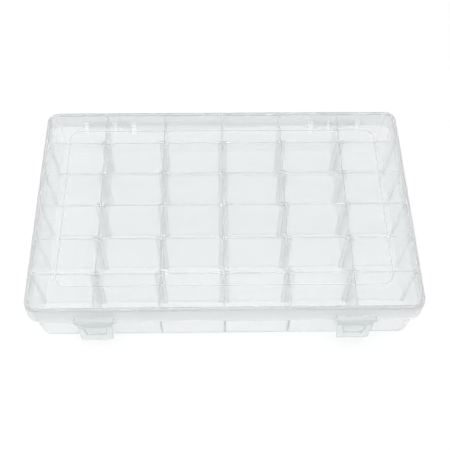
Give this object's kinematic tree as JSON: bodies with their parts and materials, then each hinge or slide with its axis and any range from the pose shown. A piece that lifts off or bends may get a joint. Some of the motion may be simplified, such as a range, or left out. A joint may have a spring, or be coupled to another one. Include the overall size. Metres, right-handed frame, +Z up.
{
  "type": "compartment box",
  "caption": "Flat clear plastic organiser box with a hinged lid, fixed walls, lift-out dividers and front snap latches, for beads and small craft parts.",
  "frame": {"origin": "middle of the closed box, on the surface that it stands on", "axes": "+X to the right along the long side, +Y from the latches to the hinges, +Z up"},
  "size_m": [0.275, 0.1828, 0.045],
  "materials": {
    "clear_base": "clear moulded polypropylene, slightly milky, smooth",
    "clear_lid": "clear moulded polypropylene, polished",
    "clear_latch": "clear moulded polypropylene, slightly milky",
    "clear_divider": "clear moulded polypropylene sheet, smooth"
  },
  "bodies": {
    "base": {"base_tray": "clear_base", "divider_r1_c1": "clear_divider", "divider_r1_c2": "clear_divider", "divider_r1_c3": "clear_divider", "divider_r1_c4": "clear_divider", "divider_r1_c5": "clear_divider", "divider_r1_c6": "clear_divider", "divider_r2_c1": "clear_divider", "divider_r2_c2": "clear_divider", "divider_r2_c3": "clear_divider", "divider_r2_c4": "clear_divider", "divider_r2_c5": "clear_divider", "divider_r2_c6": "clear_divider", "divider_r3_c1": "clear_divider", "divider_r3_c2": "clear_divider", "divider_r3_c3": "clear_divider", "divider_r3_c4": "clear_divider", "divider_r3_c5": "clear_divider", "divider_r3_c6": "clear_divider", "divider_r4_c1": "clear_divider", "divider_r4_c2": "clear_divider", "divider_r4_c3": "clear_divider", "divider_r4_c4": "clear_divider", "divider_r4_c5": "clear_divider", "divider_r4_c6": "clear_divider", "divider_r5_c1": "clear_divider", "divider_r5_c2": "clear_divider", "divider_r5_c3": "clear_divider", "divider_r5_c4": "clear_divider", "divider_r5_c5": "clear_divider", "divider_r5_c6": "clear_divider"},
    "lid": {"lid": "clear_lid"},
    "latch_left": {"latch_left": "clear_latch"},
    "latch_right": {"latch_right": "clear_latch"}
  },
  "joints": [
    {"name": "lid_hinge", "type": "hinge", "parent": "base", "child": "lid", "pos_m": [0, 0.0887, 0.03], "axis": [-1, 0, 0], "range_deg": [0, 180]},
    {"name": "latch_left_hinge", "type": "hinge", "parent": "lid", "child": "latch_left", "pos_m": [-0.0903, -0.08895, 0.0318], "axis": [-1, 0, 0], "range_deg": [0, 115]},
    {"name": "latch_right_hinge", "type": "hinge", "parent": "lid", "child": "latch_right", "pos_m": [0.0903, -0.08895, 0.0318], "axis": [-1, 0, 0], "range_deg": [0, 115]}
  ]
}
